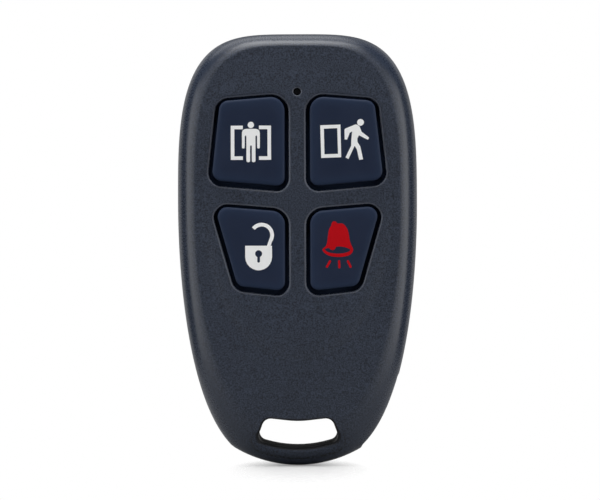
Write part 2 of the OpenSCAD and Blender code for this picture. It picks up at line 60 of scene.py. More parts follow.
# %% Sizes of the fob
MM = 0.001
HEIGHT, HALF_W, WIDE_Y, TIP_R = 64.5, 17.9, 39.4, 18.5
UP_B = HEIGHT - WIDE_Y
MID_DEPTH = 6.4
PART_Z, INNER_Z, FACE_Z, KEY_Z = 6.1, 10.4, 12.4, 12.8
REAR_WALL, BOARD_FRONT, PLUNGER_TOP = 1.4, 6.6, 8.7
FLANGE_LOW, FLANGE_TOP = 9.4, 10.2
RIM_W, ROLL, DOME = 2.7, 0.75, 0.35
TOP_FALL, LOOP_FALL, PAD = 0.5, 1.6, 0.36
ROW_Y, ROW_GAP, KEY_SIDE = 39.51, 2.54, 1.28
KEY_GAP, KEY_SHIFT, KEY_EDGE = 0.58, 0.16, 0.5
LIGHT_Y, LIGHT_R = 55.61, 0.575
PRY_DEPTH, BEVEL = 0.35, 0.22
FLAT_Z = 30.0


def stand(flat):
    """Turns points of the flat drawing (x, y, depth) into the standing frame, still in millimetres."""
    p = np.asarray(flat, float)
    return np.stack([p[:, 0], MID_DEPTH - p[:, 2], p[:, 1]], axis=1)


def lift(outline, depth):
    """Gives a flat outline a depth, one number or one for each point."""
    p = np.asarray(outline, float)
    return np.column_stack([p[:, 0], p[:, 1], np.broadcast_to(depth, len(p))])


print("drawing:", HEIGHT, "by", 2 * HALF_W, "mm")

# %% [markdown]
# ## Outlines
# The case is egg-shaped. A designer would draw it with a few splines; a superellipse does the same
# job with two powers, one for how square the shoulders are and one for how flat the ends are. The
# same curve with other half axes gives the inner edge of the rim, the low pad below the keys and
# the hollow inside. The loop end is a plain arc, so the lower half is clipped to it.

# %% Outline curves
BODY_POWERS, FACE_POWERS = (3.9, 3.15, 3.3, 2), (3.7, 3, 2.4, 2.2)
PAD_POWERS, HOLLOW_POWERS = (4, 3, 2.2, 2.1), (4, 3, 2.8, 2.6)
FACE_AXES = (HALF_W - RIM_W, UP_B - 2.1, WIDE_Y - 4.9)
PAD_AXES = (HALF_W - RIM_W - 1.3, UP_B - 4, 23.4)
HOLLOW_AXES = (HALF_W - 1.6, UP_B - 1.7, WIDE_Y - 8.95)


def power(v, e):
    """A power that keeps the sign."""
    return np.sign(v) * np.abs(v) ** e


def egg(axes, powers, turn):
    """Points of a superellipse round the widest place, for angles counted from the right."""
    c, s = np.cos(turn), np.sin(turn)
    up = s >= 0
    x = axes[0] * power(c, np.where(up, 2 / powers[0], 2 / powers[2]))
    y = np.where(up, axes[1], axes[2]) * power(s, np.where(up, 2 / powers[1], 2 / powers[3]))
    return np.column_stack([x, WIDE_Y + y])


def body_edge(inset, turn):
    """The outer edge of the case, set in by a distance, with its round tip."""
    inset = np.broadcast_to(inset, turn.shape)
    p = np.array([egg((HALF_W - d, UP_B - d, WIDE_Y - d), BODY_POWERS, t[None])[0]
                  for d, t in zip(inset, turn)])
    arc = TIP_R - np.sqrt(np.maximum((TIP_R - inset) ** 2 - p[:, 0] ** 2, 0))
    tip = (np.abs(p[:, 0]) < TIP_R - inset) & (np.sin(turn) < 0)
    p[:, 1] = np.where(tip, np.maximum(p[:, 1], arc), p[:, 1])
    return p


def even_turns(count):
    """Angles that cut the outer edge into pieces of the same length, from the tip round to the tip."""
    fine = np.radians(np.linspace(-90, 270, 4001))
    p = body_edge(0, fine)
    run = np.concatenate([[0], np.cumsum(np.hypot(*np.diff(p, axis=0).T))])
    return np.interp(np.arange(count) * run[-1] / count, run, fine)


PRY = np.radians([-70, -68.1, -41.8, -40.7])
TURNS = np.sort(np.concatenate([even_turns(240), PRY]))
print("outer edge:", len(TURNS), "corners")

# %% [markdown]
# ## Windows and slot
# The key windows are four-sided shapes with a different radius in each corner, and the ring slot is
# a six-sided one with a hollow upper edge. One function draws any of them and also sets the outline
# in or out, keeping the centre of each corner arc, so that the loops of a fillet lie exactly side by
# side with the same number of corners.

# %% Rounded outlines
def rounded(corners, radii, inset=0.0, arc=10, step=0.8):
    """A polygon with rounded corners, counter-clockwise, set in (or out) by a distance."""
    corners = [np.array(c, float) for c in corners]
    n, arcs = len(corners), []
    for i, (c, r) in enumerate(zip(corners, radii)):
        a, b = corners[i - 1] - c, corners[(i + 1) % n] - c
        u, v = a / np.linalg.norm(a), b / np.linalg.norm(b)
        half = math.acos(float(u @ v)) / 2
        centre = c + (u + v) / np.linalg.norm(u + v) * r / math.sin(half)
        bulge = 1 if u[1] * v[0] - u[0] * v[1] > 0 else -1
        ends = [c + w * r / math.tan(half) - centre for w in (u, v)]
        start, stop = (math.atan2(e[1], e[0]) for e in ends)
        sweep = (stop - start + math.pi) % (2 * math.pi) - math.pi
        angles = start + sweep * np.linspace(0, 1, arc + 1)
        arcs.append((centre, r, bulge, angles))
    out = []
    for i, (centre, r, bulge, angles) in enumerate(arcs):
        spokes = np.column_stack([np.cos(angles), np.sin(angles)])
        out.extend(centre + (r - bulge * inset) * spokes)
        nxt = arcs[(i + 1) % n]
        first = np.array([math.cos(nxt[3][0]), math.sin(nxt[3][0])])
        plain = np.linalg.norm(nxt[0] + nxt[1] * first - centre - r * spokes[-1])
        a, b = centre + (r - bulge * inset) * spokes[-1], nxt[0] + (nxt[1] - nxt[2] * inset) * first
        parts = int(plain // step) + 1
        out.extend(a + (b - a) * k / parts for k in range(1, parts))
    return np.array(out)


UP_TALL, LO_TALL = 14.64, 12.9
UP_LOW, LO_TOP = ROW_Y + ROW_GAP / 2, ROW_Y - ROW_GAP / 2
UP_TOP, LO_LOW = UP_LOW + UP_TALL, LO_TOP - LO_TALL
UP_QUAD = [(-KEY_SIDE - 12.06, UP_LOW + 1.08), (-KEY_SIDE, UP_LOW),
           (-KEY_SIDE, UP_TOP), (-KEY_SIDE - 10.64, UP_TOP - 0.86)]
LO_QUAD = [(-KEY_SIDE - 8.07, LO_LOW + 0.88), (-KEY_SIDE, LO_LOW),
           (-KEY_SIDE, LO_TOP), (-KEY_SIDE - 11.8, LO_TOP + 0.97)]
UP_MID, LO_MID = (-KEY_SIDE - 6.03, UP_LOW + 7.32), (-KEY_SIDE - 4.9, LO_TOP - 6.45)
QUAD_R = (2.0, 1.8, 2.6, 2.0)
SLOT = [(-6.27, 3.78), (0, 2.02), (6.27, 3.78), (4.95, 7.3), (0, 6.75), (-4.95, 7.3)]
SLOT_R = (1.2, 17, 1.2, 1.3, 14, 1.3)
KEYS = {"stay": (UP_QUAD, 1, UP_MID), "away": (UP_QUAD, -1, UP_MID),
        "disarm": (LO_QUAD, 1, LO_MID), "panic": (LO_QUAD, -1, LO_MID)}


def window(name, inset):
    """The window of one key, set in by a distance; the right-hand ones are mirrored."""
    quad, side, _ = KEYS[name]
    return rounded(quad, QUAD_R, inset) * (side, 1)


def slot_edge(inset):
    """The outline of the ring slot, set in by a distance."""
    return rounded(SLOT, SLOT_R, inset, step=0.5)


def ring(centre, radius, count=40):
    """A circle of corners."""
    a = np.linspace(0, 2 * math.pi, count, endpoint=False)
    return np.column_stack([centre[0] + radius * np.cos(a), centre[1] + radius * np.sin(a)])


print("window corners:", len(window("stay", 0)), "slot corners:", len(slot_edge(0)))

# %% [markdown]
# ## Loops
# Every shell and key here is a stack of loops: a circle primitive is added with one corner for each
# point of an outline, its corners are moved there, and its edge is extruded from loop to loop. A
# number kept on each corner lets an extruded loop know which outline point it belongs to.

# %% Helpers for loops in edit mode
def edit_mesh():
    """The mesh that is being edited."""
    return bmesh.from_edit_mesh(bpy.context.object.data)


def refresh():
    """Shows Blender the corners that were moved."""
    bmesh.update_edit_mesh(bpy.context.object.data)


def place(points, number=False):
    """Moves the selected corners to their points."""
    mesh = edit_mesh()
    order = mesh.verts.layers.int.get("order") or mesh.verts.layers.int.new("order")
    for i, v in enumerate([v for v in mesh.verts if v.select]):
        if number:
            v[order] = i
        v.co = points[v[order]]
    refresh()


def begin(name):
    """Starts a piece: an object in edit mode, its primitive cleared and its corners numbered afresh."""
    bpy.ops.object.select_all(action="DESELECT")
    bpy.ops.mesh.primitive_circle_add(vertices=8, radius=1, location=(0, 0, 0))
    piece = bpy.context.object
    piece.name = piece.data.name = name
    bpy.ops.object.mode_set(mode="EDIT")
    bpy.ops.mesh.select_mode(type="VERT")
    bpy.ops.mesh.select_all(action="SELECT")
    bpy.ops.mesh.delete(type="VERT")
    bpy.ops.object.mode_set(mode="OBJECT")
    bpy.ops.object.mode_set(mode="EDIT")
    return piece


def add_loop(flat):
    """Adds a closed loop of edges along flat-drawing points."""
    points = stand(flat)
    bpy.ops.mesh.select_mode(type="VERT")
    bpy.ops.mesh.select_all(action="DESELECT")
    bpy.ops.mesh.primitive_circle_add(vertices=len(points), radius=1, location=(0, 0, 0))
    place(points, number=True)


def pull(flat):
    """Extrudes the selected loop to new points."""
    bpy.ops.mesh.extrude_edges_indiv()
    place(stand(flat))


print("loops: begin, add_loop, pull")

# %% [markdown]
# ## Faces and finished pieces
# Open loops on one level are closed with Fill, and a filled face is cut by Bisect into small squares
# so that it can follow a curved height. A finished piece is scaled to metres and handed to the body
# of the CAD model that it moves with, and its open edges are counted: a closed mesh has none.

# %% Helpers for faces and pieces
NEAR = 1e-3


def open_edges(depth, bare=False):
    """Selects the open edges that lie on one depth, or only those with no face yet."""
    bpy.ops.mesh.select_mode(type="EDGE")
    bpy.ops.mesh.select_all(action="DESELECT")
    mesh, level = edit_mesh(), MID_DEPTH - depth
    for e in mesh.edges:
        level_edge = all(abs(v.co.y - level) < NEAR for v in e.verts)
        if level_edge and len(e.link_faces) < (1 if bare else 2):
            e.select_set(True)
    refresh()


def fill(depth, bare=False):
    """Closes the area between the open loops on one depth."""
    open_edges(depth, bare)
    bpy.ops.mesh.fill(use_beauty=True)


def squares(across, upward):
    """Cuts the selected faces along upright and level planes."""
    bpy.ops.mesh.hide(unselected=True)
    for places, normal in ((across, (1, 0, 0)), (upward, (0, 0, 1))):
        for at in places:
            bpy.ops.mesh.select_all(action="SELECT")
            bpy.ops.mesh.bisect(plane_co=Vector(normal) * at, plane_no=normal, threshold=0.02)
    bpy.ops.mesh.reveal(select=False)


def settle(height):
    """Brings all corners on the drawing level to a height that depends on their place."""
    mesh = edit_mesh()
    chosen = [v for v in mesh.verts if abs(v.co.y - (MID_DEPTH - FLAT_Z)) < NEAR]
    depth = height(np.array([(v.co.x, v.co.z) for v in chosen]))
    for v, z in zip(chosen, depth):
        v.co.y = MID_DEPTH - z
    refresh()


def finish_piece(piece, body, angle=38, stands_for=None):
    """Turns the faces outwards, scales the piece to metres and gives it to its body."""
    bpy.ops.mesh.select_all(action="SELECT")
    bpy.ops.mesh.normals_make_consistent(inside=False)
    bpy.ops.object.mode_set(mode="OBJECT")
    piece.data.attributes.remove(piece.data.attributes["order"])
    piece.scale = (MM, MM, MM)
    bpy.ops.object.transform_apply(location=False, rotation=False, scale=True)
    bpy.ops.object.shade_smooth_by_angle(angle=math.radians(angle))
    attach(piece, body)
    if stands_for:
        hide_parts(stands_for)
    test = bmesh.new()
    test.from_mesh(piece.data)
    holes = sum(1 for e in test.edges if len(e.link_faces) != 2)
    volume = round(test.calc_volume() / MM ** 3, 1)
    print(piece.name, len(test.faces), "faces,", holes, "open edges,", volume, "mm3")
    test.free()


print("faces: fill, squares, settle")

# %% [markdown]
# ## The height of the front
# Seen from the side the front is a low pillow: highest at the keys, falling a little to the light
# end and more to the loop. Round its edge runs a rolled rim that meets the face in a crease, and
# below the keys a very low pad ends in a faint arc. All of that is one height for each place of the
# flat drawing, so the shell, its fillets and its fill agree with each other wherever they meet.

# %% Height functions of the front
ROLL_POWER, FOOT = 2.3, 0.045
PAD_START, PAD_RISE, PAD_SIDE, PAD_FOOT = 0.45, 0.4, 0.7, 16


def smooth(v):
    """An even step from 0 to 1."""
    v = np.clip(v, 0, 1)
    return v * v * (3 - 2 * v)


def crest(y):
    """Height along the middle line."""
    up = TOP_FALL * ((y - WIDE_Y) / UP_B) ** 2
    down = LOOP_FALL * ((WIDE_Y - y) / WIDE_Y) ** 2
    return FACE_Z - np.where(y > WIDE_Y, up, down)


def rim_height(s, y):
    """Height over the rim, from the outer side (s = 0) to its crease with the face (s = 1)."""
    rise = np.sqrt(1 - np.clip(1 - ROLL * s, 0, 1) ** ROLL_POWER)
    rise = rise / math.sqrt(1 - (1 - ROLL) ** ROLL_POWER)
    return PART_Z + (FOOT + (1 - FOOT) * rise) * (crest(y) - DOME - PART_Z)


def share(p, axes, powers):
    """How far out a place lies on the ray from the widest place to a superellipse: 1 is on it."""
    x, dy = np.abs(p[:, 0]), p[:, 1] - WIDE_Y
    up = dy >= 0
    b = np.where(up, axes[1], axes[2])
    e, g = np.where(up, powers[0], powers[2]), np.where(up, powers[1], powers[3])
    low, high = np.full(len(p), 1e-4), np.full(len(p), 4.0)
    for _ in range(40):
        mid = (low + high) / 2
        outside = (x / (axes[0] * mid)) ** e + (np.abs(dy) / (b * mid)) ** g > 1
        low, high = np.where(outside, mid, low), np.where(outside, high, mid)
    return high


def rim_share(p):
    """The same across the rim, by finding the line from the outer edge to the face that passes there."""
    x, y = np.abs(p[:, 0]), p[:, 1]
    low, high = np.full(len(p), -math.pi / 2), np.full(len(p), math.pi / 2)
    for _ in range(32):
        mid = (low + high) / 2
        a, b = body_edge(0, mid), egg(FACE_AXES, FACE_POWERS, mid)
        left = (b - a)[:, 0] * (y - a[:, 1]) - (b - a)[:, 1] * (x - a[:, 0]) < 0
        low, high = np.where(left, mid, low), np.where(left, high, mid)
    d = b - a
    return ((x - a[:, 0]) * d[:, 0] + (y - a[:, 1]) * d[:, 1]) / (d ** 2).sum(1)


def front_height(p):
    """Height of the front over places of the flat drawing."""
    p = np.asarray(p, float)
    q = share(p, FACE_AXES, FACE_POWERS)
    d = share(p, PAD_AXES, PAD_POWERS)
    low = np.clip((WIDE_Y - p[:, 1]) / (PAD_AXES[2] * d), 0, 1) ** (PAD_POWERS[3] / 2)
    inside = np.clip(d, 0, 1)
    pad = PAD * low ** PAD_SIDE * smooth((inside - PAD_START) / PAD_RISE) * (1 - inside ** PAD_FOOT)
    z = crest(p[:, 1]) - DOME * q ** 2 + pad
    rim = q > 1
    if rim.any():
        z[rim] = rim_height(rim_share(p[rim]), p[rim, 1])
    return z


print("front at the middle and at the loop:", front_height([(0, WIDE_Y), (0, 8)]).round(2))

# %% [markdown]
# ## The front shell
# The real shell is one injection moulding. By hand it could be cut from a thick egg with booleans,
# but those leave ragged edges that shade badly on such a soft surface. So the rim is extruded loop
# by loop from the parting line, each window, the light hole and the slot is a stack of loops with a
# small fillet, and the face between them is filled, cut into squares and settled on its height.
# Where the rim meets the slot its loops run closer together, and the bar below the slot is rounded
# widely, so that a ring slides on it. The prying recess at the lower right sets the lowest loops in,
# and the ceiling, the hollow and the parting face close the solid.

# %% Loops of the front shell
NEAR_SLOT, PAST_SLOT, LOOP_REACH = 14.5, 20.5, 0.25
FILLET_STEPS = np.radians([0, 12, 24, 36, 48, 60, 75, 90])
BAR_TOP, BAR_FADE, WIDE_LIP, SLIM_LIP = 5.8, 2.4, 1.6, 0.4


def from_tip(turn):
    """Degrees along the edge from the tip, the same on both sides."""
    return np.degrees(np.abs((turn + math.pi / 2 + math.pi) % (2 * math.pi) - math.pi))


def pry_inset(turn):
    """Depth of the prying recess, deepest at its lower end."""
    return np.interp(turn, PRY, (0, PRY_DEPTH, PRY_DEPTH / 2, 0))


def rim_loop(sigma, recessed=False):
    """One loop of the rim, from the outer edge (0) to the face (1) and on."""
    past = smooth((from_tip(TURNS) - NEAR_SLOT) / (PAST_SLOT - NEAR_SLOT))
    reach = LOOP_REACH + (1 - LOOP_REACH) * past
    outer, inner = body_edge(0, TURNS), egg(FACE_AXES, FACE_POWERS, TURNS)
    s = sigma * reach
    p = outer + (inner - outer) * s[:, None]
    z = rim_height(np.minimum(s, 1), p[:, 1]) if sigma <= 1 else front_height(p)
    cut = pry_inset(TURNS)
    if recessed:
        deeper = cut > s * np.hypot(*(inner - outer).T)
        p = np.where(deeper[:, None], body_edge(cut, TURNS), p)
    return lift(p, z)


def opening(outline, band, fillet, bottom):
    """A hole in the front: a flat band round it, a fillet, and a straight wall."""
    add_loop(lift(outline(-band), FLAT_Z))
    for a in FILLET_STEPS:
        loop = outline(-fillet * (1 - math.sin(a)))
        pull(lift(loop, front_height(loop) - fillet * (1 - math.cos(a))))
    pull(lift(outline(0), bottom))


def slot_front(d):
    """The slot's outline moved out, most at the bar below it, which is rounded widely."""
    low = smooth((BAR_TOP - slot_edge(0)[:, 1]) / BAR_FADE)[:, None]
    wide, slim = slot_edge(WIDE_LIP * d), slot_edge(SLIM_LIP * d)
    return slim + (wide - slim) * low


bevel = lift(body_edge(np.maximum(BEVEL, pry_inset(TURNS)), TURNS), PART_Z)
print("parting bevel:", len(bevel), "corners")

# %% Front shell
RECESSED_STEPS = (0, 0.004, 0.013, 0.027, 0.046, 0.07, 0.099)
RIM_STEPS = (0.1, 0.14, 0.19, 0.24, 0.3, 0.37, 0.44, 0.52, 0.6, 0.68, 0.76, 0.84, 0.92, 1, 1.05)
FACE_EDGE = 1.12
WINDOW_BAND, WINDOW_FILLET = 0.7, 0.42
LIGHT_BAND, LIGHT_FILLET = 0.5, 0.22
SLOT_BAND, SLOT_FILLET = 1.0, 0.8
SQUARE = 0.4
STUDS = [((s * x, y), r) for s in (-1, 1) for x, y, r in ((6, 59.2, 0.9), (5.4, 13.95, 1.0))]
hollow = egg(HOLLOW_AXES, HOLLOW_POWERS, TURNS)

front = begin("front_shell_skin")
add_loop(bevel)
for sigma in RECESSED_STEPS:
    pull(rim_loop(sigma, recessed=True))
for sigma in RIM_STEPS:
    pull(rim_loop(sigma))
pull(lift(rim_loop(FACE_EDGE)[:, :2], FLAT_Z))
for name in KEYS:
    opening(lambda d, name=name: window(name, d), WINDOW_BAND, WINDOW_FILLET, INNER_Z)
opening(lambda d: ring((0, LIGHT_Y), LIGHT_R - d), LIGHT_BAND, LIGHT_FILLET, INNER_Z)
opening(slot_front, SLOT_BAND, SLOT_FILLET, PART_Z)
fill(FLAT_Z)
squares(np.arange(-15.4, 15.5, SQUARE), np.arange(1.2, 62.4, SQUARE))
settle(front_height)
add_loop(lift(hollow, INNER_Z))
pull(lift(hollow, PART_Z))
for centre, r in STUDS:
    add_loop(lift(ring(centre, r, 24), INNER_Z))
    pull(lift(ring(centre, r, 24), BOARD_FRONT))
    fill(BOARD_FRONT)
fill(INNER_Z)
fill(PART_Z)
finish_piece(front, "case", stands_for="front_shell")

# %% [markdown]
# ## The rear shell
# The back is a shallow tray: a flat middle with a bare place for a label, well rounded sides and the
# other half of the ring slot. It is made the same way as the front, with the loops set in from the
# outer edge, so both shells share the parting bevel and the slot's outline exactly.

# %% Loops of the rear shell
BACK_IN, BACK_DEEP, BACK_TURN, BACK_FALL = 3.3, 5.86, 0.833, 0.741
NEAR_LOOP, PAST_LOOP, LOOP_IN = 13, 18.5, 1.0
LABEL_X, LABEL_Y, LABEL_R = 9.0, 12.0, 2


def back_share(a):
    """How far in an angle lies, from the parting line (0) to the flat back (1)."""
    return 1 - math.cos(a) ** BACK_TURN


def back_profile(a):
    """Inset and depth along the rounded side, from the parting line (0) to the flat back (90)."""
    return BACK_IN * back_share(a), BACK_DEEP * (1 - math.sin(a) ** BACK_FALL)


BACK_STEPS = np.radians(np.linspace(0, 90, 13))
BACK_TABLE = np.array([back_profile(a) for a in np.radians(np.linspace(0, 90, 181))])


def depth_in(p):
    """Distance of a place from the outer edge, found by setting the edge in until it passes there."""
    x, y = np.abs(p[:, 0]), p[:, 1]
    up = y >= WIDE_Y
    e, g = (np.where(up, BODY_POWERS[i], BODY_POWERS[i + 2]) for i in (0, 1))
    low, high = np.zeros(len(p)), np.full(len(p), 6.0)
    for _ in range(30):
        d = (low + high) / 2
        b = np.where(up, UP_B - d, WIDE_Y - d)
        inside = (x / (HALF_W - d)) ** e + (np.abs(y - WIDE_Y) / b) ** g < 1
        arc = TIP_R - np.sqrt(np.maximum((TIP_R - d) ** 2 - x ** 2, 0))
        inside &= (y > arc) | (y > TIP_R)
        low, high = np.where(inside, d, low), np.where(inside, high, d)
    return low


def back_height(p):
    """Depth of the back over places of the flat drawing."""
    return np.interp(depth_in(np.asarray(p, float)), BACK_TABLE[:, 0], BACK_TABLE[:, 1])


def back_loop(share_in, flat=False):
    """One loop of the rounded side, closer to the outer edge beside the slot."""
    past = smooth((from_tip(TURNS) - NEAR_LOOP) / (PAST_LOOP - NEAR_LOOP))
    reach = LOOP_IN + (BACK_IN - LOOP_IN) * past
    inset = share_in * reach
    z = np.interp(inset, BACK_TABLE[:, 0], BACK_TABLE[:, 1])
    p = body_edge(np.maximum(inset, pry_inset(TURNS)), TURNS)
    return lift(p, FLAT_Z if flat else z)


def label_edge(d):
    """The outline of the label place, set in by a distance."""
    low, high = WIDE_Y - LABEL_Y, WIDE_Y + LABEL_Y
    corners = [(-LABEL_X, low), (LABEL_X, low), (LABEL_X, high), (-LABEL_X, high)]
    return rounded(corners, (LABEL_R,) * 4, d)


print("rounded side:", len(BACK_STEPS), "steps")

# %% Rear shell
BACK_BAND, BACK_FILLET = 0.5, 0.32
LABEL_BAND, LABEL_DEEP = 0.3, 0.2
LABEL_STEPS = ((-0.08, 0.0), (-0.02, 0.02), (0.02, 0.08), (0.04, 0.16), (0.1, LABEL_DEEP))

rear = begin("rear_shell_skin")
add_loop(bevel)
for a in BACK_STEPS[:-1]:
    pull(back_loop(back_share(a)))
pull(back_loop(1, flat=True))
add_loop(lift(slot_edge(-BACK_BAND), FLAT_Z))
top = back_height(slot_edge(-BACK_FILLET))
for a in np.radians([0, 22, 45, 68, 90]):
    edge = slot_edge(-BACK_FILLET * (1 - math.sin(a)))
    pull(lift(edge, top + BACK_FILLET * (1 - math.cos(a))))
pull(lift(slot_edge(0), PART_Z))
add_loop(lift(label_edge(-LABEL_BAND), FLAT_Z))
for d, z in LABEL_STEPS:
    pull(lift(label_edge(d), z))
fill(LABEL_DEEP)
fill(FLAT_Z)
upward = np.concatenate([np.arange(1.2, 12, SQUARE), np.arange(12, 62, 2.5)])
squares(np.arange(-14, 14.1, 0.7), upward)
settle(back_height)
add_loop(lift(hollow, REAR_WALL))
pull(lift(hollow, PART_Z))
fill(REAR_WALL)
fill(PART_Z)
finish_piece(rear, "case", stands_for="rear_shell")

# %% [markdown]
# ## The keys
# Each key is a thick cap with a softly rounded edge and a slightly crowned top, a flange that stops
# it under the shell and a stem that meets its switch. The left pair is drawn and the right pair is
# its mirror image, each with a mesh of its own. The crown is kept as a function, because the printed
# pictograms have to lie on it.

# %% Outline and crown of a key
KEY_TOP, CROWN = KEY_Z - 0.12, 0.09


def key_middle(name):
    """The middle of a key in the flat drawing."""
    _, side, mid = KEYS[name]
    return np.array(mid) * (side, 1)


def cap(name, inset):
    """The outline of a key cap, set in by a distance."""
    return window(name, KEY_GAP + inset) + (0, KEY_SHIFT)


def key_share(name, p, inset):
    """How far out flat places lie between the middle of a key and its edge: 1 is on the edge."""
    middle = key_middle(name)
    edge, d = cap(name, inset) - middle, np.asarray(p, float) - middle
    spin, reach = np.arctan2(edge[:, 1], edge[:, 0]), np.hypot(*edge.T)
    order = np.argsort(spin)
    turn = np.arctan2(d[:, 1], d[:, 0])
    return np.hypot(*d.T) / np.interp(turn, spin[order], reach[order], period=2 * math.pi)


def crown_height(name, p):
    """Height of a key's top over places of the flat drawing."""
    return KEY_TOP + CROWN * (1 - np.clip(key_share(name, p, KEY_EDGE), 0, 1) ** 2)


print("key corners:", {name: len(cap(name, 0)) for name in KEYS})

# %% Key caps
FLANGE, STEM_R, SOFTNESS = 0.5, 1.7, 2 / 3
EDGE_STEPS = np.radians([0, 6, 14, 24, 36, 50, 66, 90])
CROWN_STEPS = (0.92, 0.8, 0.62, 0.44, 0.26, 0.1)

for name in KEYS:
    middle = key_middle(name)
    key = begin(name + "_key_cap")
    add_loop(lift(window(name, -FLANGE), FLANGE_LOW))
    pull(lift(window(name, -FLANGE), FLANGE_TOP))
    pull(lift(cap(name, 0), FLANGE_TOP))
    for a in EDGE_STEPS:
        inset, rise = 1 - math.cos(a) ** SOFTNESS, math.sin(a) ** SOFTNESS
        pull(lift(cap(name, KEY_EDGE * inset), KEY_TOP - KEY_EDGE * (1 - rise)))
    for k in CROWN_STEPS:
        inner = middle + (cap(name, KEY_EDGE) - middle) * k
        pull(lift(inner, KEY_TOP + CROWN * (1 - k * k)))
    bpy.ops.mesh.edge_face_add()
    add_loop(lift(ring(middle, STEM_R, 32), FLANGE_LOW))
    pull(lift(ring(middle, STEM_R, 32), PLUNGER_TOP))
    bpy.ops.mesh.edge_face_add()
    fill(FLANGE_LOW)
    finish_piece(key, name + "_button", stands_for=name + "_key")

# %% [markdown]
# ## The pictograms
# The signs on the keys are pad-printed ink: a person in brackets, a person leaving a door, an open
# padlock and a ringing bell. They are plain functional signs. A drawing program would give vector
# curves; here each sign is a few closed outlines of arcs, strokes and corners, so that the same loops
# and fills that make the keys can make it too.

# %% Strokes and curves for signs
LOCK_HALF, LOCK_TOP, LOCK_FOOT = 1.975, 1.18, 0.47


def curve(points, steps=6):
    """A smooth closed curve through a few points."""
    p = np.array(points, float)
    out = []
    for i in range(len(p)):
        a, b, c, d = (p[(i + k) % len(p)] for k in (-1, 0, 1, 2))
        for t in np.linspace(0, 1, steps, endpoint=False):
            out.append(0.5 * (2 * b + (c - a) * t + (2 * a - 5 * b + 4 * c - d) * t ** 2
                              + (3 * b - a - 3 * c + d) * t ** 3))
    return np.array(out)


def bar(a, b, width):
    """A straight stroke with round ends."""
    a, b = np.array(a, float), np.array(b, float)
    lean = math.atan2(b[1] - a[1], b[0] - a[0])
    ends = [(b, lean - math.pi / 2), (a, lean + math.pi / 2)]
    return np.array([c + width / 2 * np.array([math.cos(s + t), math.sin(s + t)])
                     for c, s in ends for t in np.linspace(0, math.pi, 9)])


def bracket(back, tip, low, high, stroke):
    """A square bracket that opens from its back towards its tip."""
    s = math.copysign(stroke, tip - back)
    return np.array([(back, low), (tip, low), (tip, low + stroke), (back + s, low + stroke),
                     (back + s, high - stroke), (tip, high - stroke), (tip, high), (back, high)])


def arc_points(centre, radius, start, stop, count):
    """Points along an arc, with its angles in degrees."""
    a = np.radians(np.linspace(start, stop, count))
    return [(centre[0] + radius * math.cos(t), centre[1] + radius * math.sin(t)) for t in a]


def standing_person(x, top):
    """Shoulders, arms and legs of a standing figure, as one outline."""
    half = [(0.13, 2.49), (0.13, 4.73), (0.17, 4.88), (0.39, 4.96), (0.61, 4.88), (0.67, 4.73),
            (0.67, 1.12), (0.79, 1.0), (0.9, 1.12), (0.92, 2.79), (0.98, 2.89), (1.12, 2.93),
            (1.26, 2.89), (1.32, 2.79), (1.32, 0.61), (1.22, 0.25), (0.93, 0.06), (0.61, 0.02)]
    right = [(x + dx, top - dy) for dx, dy in half]
    return np.array(right + [(2 * x - px, py) for px, py in reversed(right)])


def lock_edge(x, y):
    """Where the ray from the keyhole meets the lock's edge: its flat top, a side or its round foot."""
    c, s = np.array([x, y]) / math.hypot(x, y)
    straight = min(LOCK_HALF / max(abs(c), 1e-6), LOCK_TOP / max(s, 1e-6))
    foot = math.sqrt((LOCK_FOOT * s) ** 2 + LOCK_HALF ** 2 - LOCK_FOOT ** 2) - LOCK_FOOT * s
    reach = straight if straight * s > -LOCK_FOOT else foot
    return reach * c, reach * s


print("outlines: curve, bar, bracket, arc_points")

# %% Outlines of the signs
stay_sign = [bracket(-9.8, -8.02, 45.5, 50.55, 0.53), bracket(-3.86, -5.64, 45.5, 50.55, 0.53),
             ring((-6.83, 50.65), 0.47, 28), standing_person(-6.83, 50.1)]
walker = [(6.96, 49.88), (7.05, 50.06), (8.56, 50.67), (8.89, 50.63), (9.2, 50.36), (9.49, 49.6),
          (10.6, 48.72), (10.41, 48.4), (9.09, 49.07), (8.86, 48.61), (8.88, 48.06), (9.28, 47.47),
          (9.69, 45.53), (9.11, 45.45), (8.79, 46.94), (8.46, 47.52), (7.54, 45.57), (7.1, 45.82),
          (7.94, 47.57), (7.96, 48.41), (8.09, 49.64), (7.73, 49.45), (7.66, 49.2), (7.34, 48.43),
          (6.98, 48.47)]
away_sign = [np.array([(3.39, 50.57), (3.52, 45.75), (6.47, 45.85), (6.37, 50.66)]),
             np.array([(3.93, 50.05), (4, 46.29), (6, 46.35), (5.9, 50.14)]),
             ring((9.33, 50.98), 0.5, 28), np.array(walker)]
hoop, eye = (-5.29, 34.42), (-5.75, 31.67)
spread = np.sort(np.append(np.linspace(-67.3, 247.3, 25), (30.86, 149.14)))
round_hole = [arc_points((0, 0), 0.513, a, a, 1)[0] for a in spread]
keyhole = np.array([(0, -1.31), (0.13, -1.28), (0.198, -1.18)] + round_hole
                   + [(-0.198, -1.18), (-0.13, -1.28)])
lock = np.array([lock_edge(x, y) for x, y in keyhole])
shackle = ([(-4.51, 32.85), (-3.97, 32.85)] + arc_points(hoop, 1.817, -34, 142, 25)
           + arc_points(hoop, 1.267, 142, -30, 22))
disarm_sign = [(lock + eye, keyhole + eye), np.array(shackle)]
